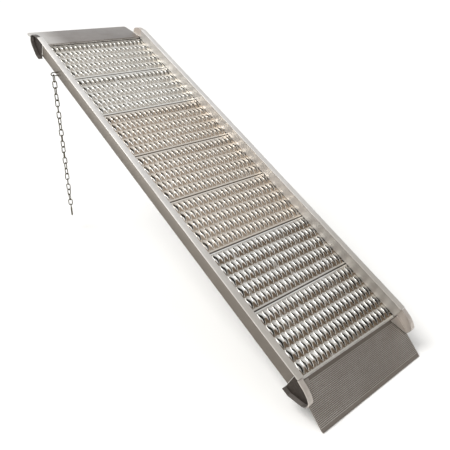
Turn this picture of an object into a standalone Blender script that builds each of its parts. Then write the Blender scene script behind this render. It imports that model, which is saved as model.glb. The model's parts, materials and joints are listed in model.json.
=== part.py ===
"""Aluminium loading ramp with a serrated plank deck, curb rails, end plates and a safety chain.

The ramp stands as it is used: the toe is low and in front, the lip is high and behind.
The deck is laid out flat (X across, Y up the ramp, Z off the deck) and tilted by an empty.
The chain hangs straight down in world space, so it isn't a child of that empty.
"""

import math

import bmesh
import bpy
from mathutils import Matrix, Vector

# Overall sizes, in metres and degrees
SLOPE = math.radians(24.0)  # deck above the horizontal
CLEAR_WIDTH = 0.590  # between the curb rails
PLANK_COUNT = 7
FIT = 0.0003  # gap between pieces that are welded or rest on each other

# Deck planks: bent channels that lie across the ramp
PLANK_WIDTH = 0.2985
PLANK_GAP = 0.0015
PLANK_DEPTH = 0.038
PLANK_SHEET = 0.003
PLANK_BEND = 0.005
PLANK_NOTCH = 0.009  # corner cut beside the rail

# Curb rails: web, outward top flange and inward foot under the planks
CURB_HEIGHT = 0.055  # rail top above the deck
RAIL_WEB = 0.005
RAIL_FLANGE = 0.027
RAIL_FLANGE_THICK = 0.005
RAIL_INNER_LIP = 0.002
RAIL_FOOT = 0.032
RAIL_FOOT_THICK = 0.005
RAIL_CORNER = 0.0015

# End plates, measured from the deck's end along the plate
PLATE_RISE = 0.010  # plate top above the deck where it starts
LIP_TILT = math.radians(12.5)
LIP_LENGTH = 0.184
LIP_THICK = 0.008
LIP_CORNER = 0.010
LIP_SEAT = 0.150  # point of the underside that rests on the truck bed
APPROACH_TILT = math.radians(18.6)
APPROACH_LENGTH = 0.182
APPROACH_THICK = 0.0075
APPROACH_NOSE = 0.002
RIB_COUNT = 26
RIB_PITCH = 0.006
RIB_WIDTH = 0.003
RIB_HEIGHT = 0.0016
RIB_START = 0.014

# Cross tubes under the plates, and corner plates on the approach plate
TUBE_SIDE = 0.025
TUBE_WALL = 0.003
TUBE_START = 0.0125
TUBE_SEAT_END = 0.045  # the lip is thinner up to here, where its tube is welded on
TUBE_SEAT_DEPTH = 0.0008
CORNER_PLATE_THICK = 0.003
CORNER_PLATE_REACH = 0.050  # across the ramp
CORNER_PLATE_LENGTH = 0.088  # along the ramp
CORNER_PLATE_START = 0.003

# End shoes: a web lapped onto the rail, with a rim round its free edge
SHOE_WEB = 0.0045
SHOE_SINK = 0.0005  # web behind the rim's inner edge
SHOE_LAP = 0.022
SHOE_REACH = 0.083  # beyond the deck's end
SHOE_TOP = 0.051
SHOE_BOTTOM = -0.057
SHOE_RIM = 0.0217
SHOE_RIM_THICK = 0.004

# Chain
LINK_COUNT = 23
LINK_WIRE = 0.0048
LINK_INNER_LENGTH = 0.0318
LINK_INNER_WIDTH = 0.0143
LINK_PLAY = 0.0003
LINK_TURN = math.radians(68.6)  # each link stands turned by this from the one above
CHAIN_ALONG = 1.885  # eye's place up the ramp
CHAIN_BELOW = 0.028  # eye's lower leg under the deck surface
EYE_REACH = 0.027  # from the rail's outer face to the chain
EYE_WIRE = LINK_WIRE
EYE_RISE = 0.016  # between the eye's two legs
EYE_BOW = 0.004  # chain to the bow's centre
HOOK_TURN = math.radians(89)  # hook across the last link
HOOK_EYE_RADIUS = 0.0084
HOOK_EYE_WIRE = 0.0056
HOOK_STOCK = 0.0096
HOOK_BOWL = 0.0145  # radius of the bowl's centre line
HOOK_DROP = 0.0455  # chain pin to the bowl's centre
HOOK_SHIFT = 0.0015  # bowl's centre beside the load line, so that the hook hangs straight

ARC_STEPS = 4
DECK_LENGTH = PLANK_COUNT * (PLANK_WIDTH + PLANK_GAP)
HALF_CLEAR = CLEAR_WIDTH / 2
PLATE_HALF = HALF_CLEAR + RAIL_WEB
SHOE_INNER = HALF_CLEAR + RAIL_WEB + FIT
RAIL_BOTTOM = -(PLANK_DEPTH + FIT + RAIL_FOOT_THICK)
LINK_SPACING = LINK_INNER_LENGTH - LINK_PLAY
ALONG_X = (math.pi / 2, 0, math.pi / 2)  # turns a flat outline to Y-Z, extruded along X
ALONG_Y = (math.pi / 2, 0, 0)  # turns a flat outline to X-Z, extruded along Y


def clear_scene():
    """Removes every object, and makes the collections for the parts and the cutters."""
    for item in list(bpy.data.objects):
        bpy.data.objects.remove(item, do_unlink=True)
    groups = []
    for name in ("loading_ramp", "cutters"):
        group = bpy.data.collections.new(name)
        bpy.context.scene.collection.children.link(group)
        groups.append(group)
    return groups


def make_material(name, colour, roughness, metallic=1.0):
    """A Principled material of one colour."""
    material = bpy.data.materials.new(name)
    material.use_nodes = True
    shader = material.node_tree.nodes["Principled BSDF"]
    shader.inputs["Base Color"].default_value = (*colour, 1.0)
    shader.inputs["Roughness"].default_value = roughness
    shader.inputs["Metallic"].default_value = metallic
    return material


def make_empty(name, parent, location, rotation=(0, 0, 0)):
    """An empty that other pieces are placed from."""
    empty = bpy.data.objects.new(name, None)
    PARTS.objects.link(empty)
    empty.parent = parent
    empty.location = location
    empty.rotation_euler = rotation
    return empty


def make_plate_frame(name, end, tilt, thickness):
    """The frame of a tilted end plate, its lower edge just clear of the deck's end."""
    start = thickness * math.sin(tilt) + FIT
    return make_empty(name, end, (0, start, PLATE_RISE), (-tilt, 0, 0))


def add_piece(name, data, parent, location, rotation, material=None):
    """A named object of the ramp, placed under its parent."""
    piece = bpy.data.objects.new(name, data)
    PARTS.objects.link(piece)
    piece.parent = parent
    piece.location = location
    piece.rotation_euler = rotation
    if material:
        data.materials.clear()
        data.materials.append(material)
    return piece


def outline_curve(name, outlines, depth):
    """A flat curve of closed outlines, filled and extruded to a depth."""
    curve = bpy.data.curves.new(name, "CURVE")
    curve.dimensions = "2D"
    curve.fill_mode = "BOTH"
    curve.extrude = depth / 2
    for outline in outlines:
        spline = curve.splines.new("POLY")
        spline.points.add(len(outline) - 1)
        for point, (x, y) in zip(spline.points, outline):
            point.co = (x, y, 0, 1)
        spline.use_cyclic_u = True
    return curve


def wire_curve(name, path, radius, closed=False, scales=None):
    """A round wire along a path, with filled ends."""
    curve = bpy.data.curves.new(name, "CURVE")
    curve.dimensions = "3D"
    curve.bevel_depth = radius
    curve.bevel_resolution = 2
    curve.use_fill_caps = True
    spline = curve.splines.new("POLY")
    spline.points.add(len(path) - 1)
    for index, (point, place) in enumerate(zip(spline.points, path)):
        point.co = (*place, 1)
        point.radius = scales[index] if scales else 1.0
    spline.use_cyclic_u = closed
    return curve


def welded_mesh(curve):
    """The mesh of a curve, its caps welded to its sides; the curve is removed."""
    carrier = bpy.data.objects.new(curve.name, curve)
    CUTTERS.objects.link(carrier)
    evaluated = carrier.evaluated_get(bpy.context.evaluated_depsgraph_get())
    mesh = bpy.data.meshes.new_from_object(evaluated)
    bpy.data.objects.remove(carrier, do_unlink=True)
    bpy.data.curves.remove(curve)
    solid = bmesh.new()
    solid.from_mesh(mesh)
    bmesh.ops.remove_doubles(solid, verts=solid.verts, dist=0.00001)
    bmesh.ops.recalc_face_normals(solid, faces=solid.faces)
    solid.to_mesh(mesh)
    solid.free()
    return mesh


def boolean(piece, tool, operation):
    """Joins a hidden tool to a piece, or cuts it away."""
    tool.hide_render = True
    tool.display_type = "WIRE"
    modifier = piece.modifiers.new(tool.name, "BOOLEAN")
    modifier.operation = operation
    modifier.object = tool


def add_tool(name, mesh, parent, location, rotation):
    """A hidden object that a Boolean uses."""
    tool = bpy.data.objects.new(name, mesh)
    CUTTERS.objects.link(tool)
    tool.parent = parent
    tool.location = location
    tool.rotation_euler = rotation
    return tool


def arc(centre, radius, start, end, steps=ARC_STEPS):
    """Points of an arc between two angles in degrees, both ends included."""
    angles = [math.radians(start + (end - start) * i / steps) for i in range(steps + 1)]
    return [(centre[0] + radius * math.cos(a), centre[1] + radius * math.sin(a)) for a in angles]


def rounded(points, radius, closed=True, steps=ARC_STEPS):
    """A polygon or path with each corner rounded; an open path keeps its two end points."""
    count = len(points)
    result = []
    for i, point in enumerate(points):
        if not closed and i in (0, count - 1):
            result.append(point)
            continue
        corner = Vector(point)
        before = Vector(points[i - 1]) - corner
        after = Vector(points[(i + 1) % count]) - corner
        half = before.angle(after) / 2
        reach = min(radius / math.tan(half), before.length * 0.45, after.length * 0.45)
        size = reach * math.tan(half)
        centre = corner + (before.normalized() + after.normalized()).normalized() * size / math.sin(half)
        first = corner + before.normalized() * reach - centre
        last = corner + after.normalized() * reach - centre
        sweep = first.angle_signed(last)
        for step in range(steps + 1):
            spoke = Matrix.Rotation(-sweep * step / steps, 2) @ first
            result.append(tuple(centre + spoke))
    return result


def offset_path(path, distance):
    """An open path moved to its left by a distance."""
    moved = []
    for i, point in enumerate(path):
        here = Vector(point)
        steps = []
        if i:
            steps.append((here - Vector(path[i - 1])).normalized())
        if i < len(path) - 1:
            steps.append((Vector(path[i + 1]) - here).normalized())
        along = sum(steps, Vector((0, 0))).normalized()
        left = Vector((-along.y, along.x))
        stretch = 1 / max(along.dot(steps[0]), 0.5)
        moved.append(tuple(here + left * distance * stretch))
    return moved


def band(path, thickness):
    """The closed outline between a path and its copy moved to the left."""
    return path + offset_path(path, thickness)[::-1]


def build_planks(ramp, material):
    """The deck: equal bent channels, each with its four corners cut."""
    half = PLANK_WIDTH / 2
    outer = PLANK_BEND
    inner = PLANK_BEND - PLANK_SHEET
    bend = (half - PLANK_BEND, -PLANK_BEND)
    right = [(half, -PLANK_DEPTH), *arc(bend, outer, 0, 90)]
    right_inner = [*arc(bend, inner, 90, 0), (half - PLANK_SHEET, -PLANK_DEPTH)]
    left = [(-y, z) for y, z in reversed(right)]
    left_inner = [(-y, z) for y, z in reversed(right_inner)]
    channel = right + left + left_inner + right_inner
    length = CLEAR_WIDTH - 2 * FIT
    plank = bpy.data.objects.new("plank", welded_mesh(outline_curve("channel", [channel], length)))
    CUTTERS.objects.link(plank)
    plank.rotation_euler = ALONG_X
    cutter = bmesh.new()
    for side_x in (-1, 1):
        for side_y in (-1, 1):
            place = Matrix.Translation((side_x * length / 2, side_y * half, 0))
            turned = place @ Matrix.Rotation(math.pi / 4, 4, "Z")
            bmesh.ops.create_cube(cutter, size=1, matrix=turned @ Matrix.Diagonal(
                (PLANK_NOTCH * math.sqrt(2), PLANK_NOTCH * math.sqrt(2), 4 * PLANK_DEPTH, 1)))
    mesh = bpy.data.meshes.new("corner_cutter")
    cutter.to_mesh(mesh)
    cutter.free()
    boolean(plank, add_tool("corner_cutter", mesh, None, (0, 0, 0), (0, 0, 0)), "DIFFERENCE")
    evaluated = plank.evaluated_get(bpy.context.evaluated_depsgraph_get())
    shared = bpy.data.meshes.new_from_object(evaluated)
    bpy.data.objects.remove(plank, do_unlink=True)
    for number in range(PLANK_COUNT):
        along = (number + 0.5) * (PLANK_WIDTH + PLANK_GAP)
        add_piece(f"tread_plank_{number + 1}", shared, ramp, (0, along, 0), ALONG_X, material)


def build_rails(ramp, material):
    """The two curb rails, mirror images of one section."""
    top = CURB_HEIGHT
    under = CURB_HEIGHT - RAIL_FLANGE_THICK
    foot = RAIL_BOTTOM + RAIL_FOOT_THICK
    section = [
        (-RAIL_FOOT, RAIL_BOTTOM), (RAIL_WEB, RAIL_BOTTOM), (RAIL_WEB, under), (RAIL_FLANGE, under),
        (RAIL_FLANGE, top), (-RAIL_INNER_LIP, top), (-RAIL_INNER_LIP, under), (0, under),
        (0, foot), (-RAIL_FOOT, foot),
    ]
    section = rounded(section, RAIL_CORNER, steps=2)
    for name, side in (("left", -1), ("right", 1)):
        outline = [(side * x, z) for x, z in section]
        curve = outline_curve(f"rail_{name}", [outline], DECK_LENGTH)
        place = (side * HALF_CLEAR, DECK_LENGTH / 2, 0)
        add_piece(f"side_rail_{name}", curve, ramp, place, ALONG_Y, material)


def build_shoes(end, prefix, material):
    """The two shoes of one end: each a web with a rim all round its free edge, in one solid."""
    path = [(-SHOE_LAP, SHOE_BOTTOM), (0.008, SHOE_BOTTOM), (0.066, -0.028), (0.079, -0.015)]
    path += [(SHOE_REACH, -0.002), (SHOE_REACH, 0.008), (0.080, 0.019), (0.062, 0.033), (0.040, 0.043)]
    path = rounded(path + [(0.0015, SHOE_TOP)], 0.015, False)
    under = CURB_HEIGHT - RAIL_FLANGE_THICK - 2 * FIT
    back = -SHOE_LAP + SHOE_SINK
    web_outline = offset_path(path, SHOE_RIM_THICK / 2) + [(FIT, under), (back, under)]
    web_outline[0] = (back, web_outline[0][1])
    for name, side in (("left", -1), ("right", 1)):
        hand = -side if prefix == "lower" else side
        rim = welded_mesh(outline_curve("shoe_rim", [band(path, SHOE_RIM_THICK)], SHOE_RIM))
        place = (hand * (SHOE_INNER + SHOE_RIM / 2), 0, 0)
        shoe = add_piece(f"end_shoe_{prefix}_{name}", rim, end, place, ALONG_X, material)
        web = welded_mesh(outline_curve("shoe_web", [web_outline], SHOE_WEB))
        place = (hand * (SHOE_INNER + SHOE_SINK + SHOE_WEB / 2), 0, 0)
        boolean(shoe, add_tool(f"{prefix}_{name}_web", web, end, place, ALONG_X), "UNION")


def build_lip(plate_frame, material):
    """The plain upper plate that rests on the truck bed, with a shallow seat for its cross tube."""
    corner = LIP_CORNER
    outline = [
        (-PLATE_HALF, 0), (PLATE_HALF, 0),
        *arc((PLATE_HALF - corner, LIP_LENGTH - corner), corner, 0, 90),
        *arc((-PLATE_HALF + corner, LIP_LENGTH - corner), corner, 90, 180),
    ]
    mesh = welded_mesh(outline_curve("lip_plate", [outline], LIP_THICK))
    middle = (0, 0, -LIP_THICK / 2)
    lip = add_piece("lip_plate", mesh, plate_frame, middle, (0, 0, 0), material)
    cutter = bmesh.new()
    size = (4 * PLATE_HALF, 2 * TUBE_SEAT_END, 2 * TUBE_SEAT_DEPTH, 1)
    bmesh.ops.create_cube(cutter, size=1, matrix=Matrix.Diagonal(size))
    seat = bpy.data.meshes.new("tube_seat")
    cutter.to_mesh(seat)
    cutter.free()
    place = (0, 0, -LIP_THICK)
    boolean(lip, add_tool("tube_seat", seat, plate_frame, place, (0, 0, 0)), "DIFFERENCE")


def build_approach(plate_frame, material):
    """The ribbed lower plate, its toe cut to lie flat on the ground."""
    base = -RIB_HEIGHT
    profile = [(0, -APPROACH_THICK), (0, base)]
    for rib in range(RIB_COUNT):
        start = RIB_START + rib * RIB_PITCH
        profile += [(start, base), (start, 0), (start + RIB_WIDTH, 0), (start + RIB_WIDTH, base)]
    cut = (APPROACH_THICK - APPROACH_NOSE) / math.tan(SLOPE + APPROACH_TILT)
    profile += [
        (APPROACH_LENGTH, base), (APPROACH_LENGTH, -APPROACH_NOSE), (APPROACH_LENGTH - cut, -APPROACH_THICK)]
    curve = outline_curve("approach_plate", [profile[::-1]], 2 * PLATE_HALF)
    add_piece("approach_plate", curve, plate_frame, (0, 0, 0), ALONG_X, material)


def build_cross_tube(plate_frame, name, plate_thickness, material):
    """A square tube across the ramp, under a plate."""
    top = -plate_thickness - FIT
    middle = (TUBE_START + TUBE_SIDE / 2, top - TUBE_SIDE / 2)
    outlines = []
    for side, radius in ((TUBE_SIDE, 0.003), (TUBE_SIDE - 2 * TUBE_WALL, 0.001)):
        half = side / 2
        square = [(-half, -half), (half, -half), (half, half), (-half, half)]
        outlines.append(rounded(square, radius, steps=2))
    curve = outline_curve(name, outlines, 2 * PLATE_HALF)
    add_piece(name, curve, plate_frame, (0, *middle), ALONG_X, material)


def build_corner_plates(plate_frame, material):
    """The two triangles welded on the approach plate, beside the shoes."""
    start = CORNER_PLATE_START
    for name, side in (("left", 1), ("right", -1)):
        edge = side * (PLATE_HALF - 2 * FIT)
        tip = edge - side * CORNER_PLATE_REACH
        triangle = [(edge, start), (edge, start + CORNER_PLATE_LENGTH), (tip, start)]
        curve = outline_curve(f"corner_{name}", [rounded(triangle, 0.003, steps=2)], CORNER_PLATE_THICK)
        place = (0, 0, CORNER_PLATE_THICK / 2 + FIT)
        add_piece(f"corner_plate_{name}", curve, plate_frame, place, (0, 0, 0), material)


def build_eye(pin, material):
    """The bent rod on the left rail that the chain hangs from, around the first link's pin."""
    root = EYE_REACH - FIT
    bow = [(x, z) for x, z in arc((-EYE_BOW, EYE_RISE / 2), EYE_RISE / 2, 270, 90, 8)]
    path = [(root, 0, 0)] + [(x, 0, z) for x, z in bow] + [(root, 0, EYE_RISE)]
    add_piece("chain_eye", wire_curve("chain_eye", path, EYE_WIRE / 2), None, pin, (0, 0, 0), material)


def link_path():
    """The closed centre line of a link, measured from the pin that it hangs on."""
    bend = (LINK_INNER_WIDTH + LINK_WIRE) / 2
    straight = (LINK_INNER_LENGTH - LINK_INNER_WIDTH) / 2
    centre = LINK_WIRE / 2 + LINK_PLAY - LINK_INNER_LENGTH / 2
    upper = arc((0, centre + straight), bend, 0, 180, 6)
    lower = arc((0, centre - straight), bend, 180, 360, 6)
    return [(x, 0, z) for x, z in upper + lower]


def build_chain(pin, material):
    """The links, each a child of the link above with its origin on the pin it swings about."""
    shared = wire_curve("chain_link", link_path(), LINK_WIRE / 2, closed=True)
    above, place, turn = None, pin, math.pi / 2
    for number in range(LINK_COUNT):
        above = add_piece(f"chain_link_{number + 1:02d}", shared, above, place, (0, 0, turn), material)
        place, turn = (0, 0, -LINK_SPACING), LINK_TURN
    return above


def build_hook(last_link, material):
    """The hook: a round eye joined to a bowl of tapering stock."""
    eye_centre = LINK_WIRE / 2 + LINK_PLAY + HOOK_EYE_WIRE / 2 - HOOK_EYE_RADIUS
    bowl = arc((HOOK_SHIFT, -HOOK_DROP), HOOK_BOWL, 135, 372, 12)
    neck = [(0, eye_centre - HOOK_EYE_RADIUS), (-0.0022, -0.0215), (-0.0070, -0.0290)]
    path = [(x, 0, z) for x, z in neck + bowl]
    last = len(path) - 1
    scales = [0.72, 0.78] + [1.0 - 0.5 * max(0.0, (i - 9) / (last - 9)) ** 1.5 for i in range(2, last + 1)]
    stock = wire_curve("hook_stock", path, HOOK_STOCK / 2, scales=scales)
    place, turn = (0, 0, -LINK_SPACING), (0, 0, HOOK_TURN)
    hook = add_piece("chain_hook", welded_mesh(stock), last_link, place, turn, material)
    ring = [(x, 0, z) for x, z in arc((0, eye_centre), HOOK_EYE_RADIUS, 0, 360, 16)[:-1]]
    mesh = welded_mesh(wire_curve("hook_eye", ring, HOOK_EYE_WIRE / 2, closed=True))
    boolean(hook, add_tool("hook_eye", mesh, last_link, place, turn), "UNION")


def main():
    """Builds the ramp."""
    aluminium = make_material("aluminium_plank", (0.62, 0.61, 0.58), 0.35)
    rail_metal = make_material("aluminium_rail", (0.60, 0.57, 0.53), 0.40)
    plate_metal = make_material("aluminium_plate", (0.50, 0.48, 0.45), 0.45)
    shoe_metal = make_material("aluminium_shoe", (0.36, 0.32, 0.28), 0.50)
    steel = make_material("chain_steel", (0.22, 0.20, 0.16), 0.45)

    lip_turn = Matrix.Rotation(-LIP_TILT, 3, "X")
    lip_start = DECK_LENGTH + LIP_THICK * math.sin(LIP_TILT) + FIT
    seat = Vector((0, lip_start, PLATE_RISE)) + lip_turn @ Vector((0, LIP_SEAT, -LIP_THICK))
    tilt = Matrix.Rotation(SLOPE, 3, "X")
    ramp = make_empty("ramp_frame", None, -(tilt @ seat), (SLOPE, 0, 0))
    lower_end = make_empty("lower_end", ramp, (0, 0, 0), (0, 0, math.pi))
    upper_end = make_empty("upper_end", ramp, (0, DECK_LENGTH, 0))
    approach_frame = make_plate_frame("approach_frame", lower_end, APPROACH_TILT, APPROACH_THICK)
    lip_frame = make_plate_frame("lip_frame", upper_end, LIP_TILT, LIP_THICK)

    build_planks(ramp, aluminium)
    build_rails(ramp, rail_metal)
    build_shoes(lower_end, "lower", shoe_metal)
    build_shoes(upper_end, "upper", shoe_metal)
    build_lip(lip_frame, plate_metal)
    build_approach(approach_frame, plate_metal)
    build_cross_tube(lip_frame, "cross_tube_upper", LIP_THICK - TUBE_SEAT_DEPTH, plate_metal)
    build_cross_tube(approach_frame, "cross_tube_lower", APPROACH_THICK, plate_metal)
    build_corner_plates(approach_frame, plate_metal)

    chain_line = Vector((-(HALF_CLEAR + RAIL_WEB + EYE_REACH), CHAIN_ALONG, -CHAIN_BELOW))
    pin = tilt @ (chain_line - seat)
    build_eye(pin, steel)
    last_link = build_chain(pin, steel)
    build_hook(last_link, steel)


PARTS, CUTTERS = clear_scene()
main()
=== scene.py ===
"""Looks of the aluminium loading ramp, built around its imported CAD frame."""

from __future__ import annotations

import json
import logging
import math
from collections.abc import Callable
from dataclasses import dataclass, field
from enum import Enum

import bmesh
import bpy
from mathutils import Matrix, Vector

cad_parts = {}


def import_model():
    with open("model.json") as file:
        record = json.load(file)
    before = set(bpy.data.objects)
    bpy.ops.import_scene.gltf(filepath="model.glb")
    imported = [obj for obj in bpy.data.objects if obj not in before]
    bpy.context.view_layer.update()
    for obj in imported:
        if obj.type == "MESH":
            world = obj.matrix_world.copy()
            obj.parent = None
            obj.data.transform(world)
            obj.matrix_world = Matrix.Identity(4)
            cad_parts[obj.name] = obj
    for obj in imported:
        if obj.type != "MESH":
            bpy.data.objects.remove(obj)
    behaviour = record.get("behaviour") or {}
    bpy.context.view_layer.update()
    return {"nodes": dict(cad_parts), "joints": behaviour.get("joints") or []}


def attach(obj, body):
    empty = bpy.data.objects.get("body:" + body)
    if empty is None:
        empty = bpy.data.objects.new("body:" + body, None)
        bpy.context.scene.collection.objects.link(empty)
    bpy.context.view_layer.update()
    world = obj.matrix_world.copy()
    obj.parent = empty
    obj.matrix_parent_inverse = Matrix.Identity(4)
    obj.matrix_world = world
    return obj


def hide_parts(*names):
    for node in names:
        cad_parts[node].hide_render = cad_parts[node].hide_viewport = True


Colour = tuple[float, float, float]
Place = tuple[float, float, float]
Band = tuple[float, float]

LOG = logging.getLogger("loading_ramp")
SLOPE = math.radians(24.0)
DECK_START = Vector((0.0, -2.06482, -0.88618))
DECK = Matrix.Translation(DECK_START) @ Matrix.Rotation(SLOPE, 4, "X")
SAME_POINT = 0.00001
QUARTER_TURN = math.pi / 2


class Grain(Enum):
    """The way a metal's drawn or rolled lines run, as stretch factors in the deck's frame."""

    ALONG = (60.0, 1.2, 60.0)
    ACROSS = (1.2, 60.0, 60.0)
    NONE = (12.0, 12.0, 12.0)


# ----------------------------------------------------------------------------- shading


@dataclass(frozen=True)
class Pattern:
    """A noise pattern: its scale, its octaves, and how strong the finer octaves are."""

    scale: float
    detail: float = 3.0
    rough: float = 0.55


@dataclass(frozen=True)
class Wash:
    """A colour laid over metal, and the most of it that is laid."""

    colour: Colour
    share: float


class Value:
    """A shader socket that Python's operators work on."""

    def __init__(self, graph: Graph, socket: bpy.types.NodeSocket) -> None:
        """Wraps a socket of a graph."""
        self.graph = graph
        self.socket = socket

    def __add__(self, other: Value | float) -> Value:
        """self + other."""
        return self.graph.maths("ADD", self, other)

    def __sub__(self, other: Value | float) -> Value:
        """self - other."""
        return self.graph.maths("SUBTRACT", self, other)

    def __rsub__(self, other: float) -> Value:
        """other - self."""
        return self.graph.maths("SUBTRACT", other, self)

    def __mul__(self, other: Value | float) -> Value:
        """self * other."""
        return self.graph.maths("MULTIPLY", self, other)

    def __mod__(self, other: float) -> Value:
        """self % other, never negative."""
        return self.graph.maths("FLOORED_MODULO", self, other)

    def __abs__(self) -> Value:
        """The size of self."""
        return self.graph.maths("ABSOLUTE", self)

    __radd__ = __add__
    __rmul__ = __mul__


class Graph:
    """The node tree of a material or a world, and the short ways of adding to it."""

    def __init__(
        self, owner: bpy.types.Material | bpy.types.World, shader: str = "Principled BSDF",
    ) -> None:
        """Opens the tree of a new material or world.

        Args:
            owner: what the tree belongs to.
            shader: the node that the values feed.
        """
        owner.use_nodes = True
        self.owner = owner
        self.tree = owner.node_tree
        self.shader = self.tree.nodes[shader]

    def node(self, kind: str, settings: dict, inputs: dict, output: int | str = 0) -> Value:
        """Adds any node.

        Args:
            kind: the node's type.
            settings: attributes that are set first.
            inputs: sockets by name or index, each a value or a link.
            output: the socket that is handed back.

        Returns:
            The wrapped output.
        """
        made = self.tree.nodes.new(kind)
        for key, setting in settings.items():
            setattr(made, key, setting)
        for key, given in inputs.items():
            self.link(made.inputs[key], given)
        return Value(self, made.outputs[output])

    def link(self, socket: bpy.types.NodeSocket, given: Value | float | tuple) -> None:
        """Links a value to a socket, or sets it there.

        Args:
            socket: the input.
            given: what it takes.
        """
        if isinstance(given, Value):
            self.tree.links.new(given.socket, socket)
        else:
            socket.default_value = given

    def feed(self, name: str, given: Value | float | tuple) -> None:
        """Gives a value to one of the shader's own sockets."""
        self.link(self.shader.inputs[name], given)

    def maths(self, operation: str, a: Value | float, b: Value | float = 0.0) -> Value:
        """A Math node."""
        return self.node("ShaderNodeMath", {"operation": operation}, {0: a, 1: b})

    def blend(self, factor: Value | float, a: Value | Colour, b: Value | Colour) -> Value:
        """Mixes two colours.

        Args:
            factor: 0 for all a, 1 for all b.
            a: the first colour.
            b: the second colour.

        Returns:
            The mixed colour.
        """
        a = (*a, 1.0) if isinstance(a, tuple) else a
        b = (*b, 1.0) if isinstance(b, tuple) else b
        return self.node("ShaderNodeMix", {"data_type": "RGBA"}, {0: factor, 6: a, 7: b}, 2)

    def wash(self, metal: Value, mask: Value, wash: Wash) -> Value:
        """Lays a wash over a colour, all of it where the mask is 1."""
        return self.blend(mask * wash.share, metal, wash.colour)

    def span(self, given: Value, band: Band, ends: Band = (0.0, 1.0)) -> Value:
        """Maps a band of values smoothly onto another, held at its ends.

        Args:
            given: the value.
            band: where it starts and stops counting.
            ends: what it becomes there.

        Returns:
            The mapped value.
        """
        return self.node("ShaderNodeMapRange", {"interpolation_type": "SMOOTHSTEP"}, {
            "Value": given, "From Min": band[0], "From Max": band[1],
            "To Min": ends[0], "To Max": ends[1]})

    def axes(self, place: Value) -> tuple[Value, Value, Value]:
        """The X, Y and Z of a vector."""
        return tuple(self.node("ShaderNodeSeparateXYZ", {}, {0: place}, axis) for axis in "XYZ")

    def normal(self) -> tuple[Value, Value, Value]:
        """The X, Y and Z of the way that the surface faces."""
        return self.axes(self.node("ShaderNodeNewGeometry", {}, {}, "Normal"))

    def deck_place(self, stretch: Place = (1.0, 1.0, 1.0)) -> Value:
        """The surface's place in the deck's frame: X across, Y up the ramp, Z off the deck.

        Args:
            stretch: factors on the three axes, for patterns with a direction.

        Returns:
            The coordinates.
        """
        world = self.node("ShaderNodeTexCoord", {}, {}, "Object")
        moved = self.mapping(world, "Location", -DECK_START)
        turned = self.mapping(moved, "Rotation", (-SLOPE, 0.0, 0.0))
        return self.mapping(turned, "Scale", stretch)

    def mapping(self, place: Value, kind: str, change: Place | Vector) -> Value:
        """A Mapping node that moves, turns or scales coordinates."""
        return self.node("ShaderNodeMapping", {}, {"Vector": place, kind: change})

    def deck_axes(self) -> tuple[Value, Value, Value]:
        """The place in the deck's frame as three numbers: across, along and off the deck."""
        return self.axes(self.deck_place())

    def noise(self, place: Value, pattern: Pattern) -> Value:
        """A noise pattern from 0 to 1."""
        return self.node("ShaderNodeTexNoise", {}, {
            "Vector": place, "Scale": pattern.scale, "Detail": pattern.detail,
            "Roughness": pattern.rough})

    def bump(self, height: Value, strength: float, distance: float) -> None:
        """Feeds a height to the shader's normal."""
        self.feed("Normal", self.node("ShaderNodeBump", {}, {
            "Height": height, "Strength": strength, "Distance": distance}))


def scaled(colour: Colour, factor: float) -> Colour:
    """A colour made paler or darker, no channel past 1."""
    return tuple(min(1.0, channel * factor) for channel in colour)


@dataclass(frozen=True)
class Aluminium:
    """Mill-finish aluminium: drawn grain, cloudy oxide, scuffs and grime."""

    name: str
    colour: Colour
    shade: Colour
    grime: Colour
    grain: Grain
    roughness: float = 0.34
    grime_amount: float = 0.5
    bump: float = 0.25
    metallic: float = 0.92
    bump_depth: float = 0.0004
    cloud_pattern: Pattern = Pattern(5.0, 5.0, 0.6)
    grain_pattern: Pattern = Pattern(9.0, 4.0, 0.65)
    fine_pattern: Pattern = Pattern(420.0, 2.0)
    scuff_pattern: Pattern = Pattern(34.0, 6.0, 0.7)
    dirt_pattern: Pattern = Pattern(13.0, 6.0, 0.65)
    oxide: Band = (0.36, 0.64)
    scuffs: Band = (0.56, 0.72)
    dirt: Band = (0.45, 0.75)
    scuff_gain: float = 1.18
    scuff_share: float = 0.3
    scuff_polish: float = 0.05
    scuff_height: float = 0.2
    grain_height: float = 0.7
    grain_rough: float = 0.14
    fine_height: float = 0.3
    cloud_rough: float = 0.14
    dirt_share: float = 0.5
    dirt_rough: float = 0.22
    dirt_dulling: float = 0.4
    mean_roughening: float = 0.13

    def make(self) -> bpy.types.Material:
        """Builds the material.

        Returns:
            The material.
        """
        g = Graph(bpy.data.materials.new(self.name))
        place = g.deck_place()
        cloud = g.noise(place, self.cloud_pattern)
        grain = g.noise(g.deck_place(self.grain.value), self.grain_pattern)
        fine = g.noise(place, self.fine_pattern)
        scuff = g.span(g.noise(place, self.scuff_pattern), self.scuffs)
        dirt = g.span(g.noise(place, self.dirt_pattern), self.dirt) * self.grime_amount
        oxide = g.span(cloud * 0.5 + grain * 0.5, self.oxide)
        metal = g.blend(oxide, self.shade, self.colour)
        scuffed = Wash(scaled(self.colour, self.scuff_gain), self.scuff_share)
        metal = self.dress(g, g.wash(metal, scuff, scuffed))
        g.feed("Base Color", g.wash(metal, dirt, Wash(self.grime, self.dirt_share)))
        rough = cloud * self.cloud_rough + grain * self.grain_rough
        rough = rough + dirt * self.dirt_rough + (self.roughness - self.mean_roughening)
        g.feed("Roughness", rough - scuff * self.scuff_polish)
        g.feed("Metallic", self.metallic - dirt * self.dirt_dulling)
        height = grain * self.grain_height + fine * self.fine_height
        g.bump(height + scuff * self.scuff_height, self.bump, self.bump_depth)
        return g.owner

    def dress(self, g: Graph, metal: Value) -> Value:
        """The colour where the piece differs from plain metal; here, nowhere."""
        return metal


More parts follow.
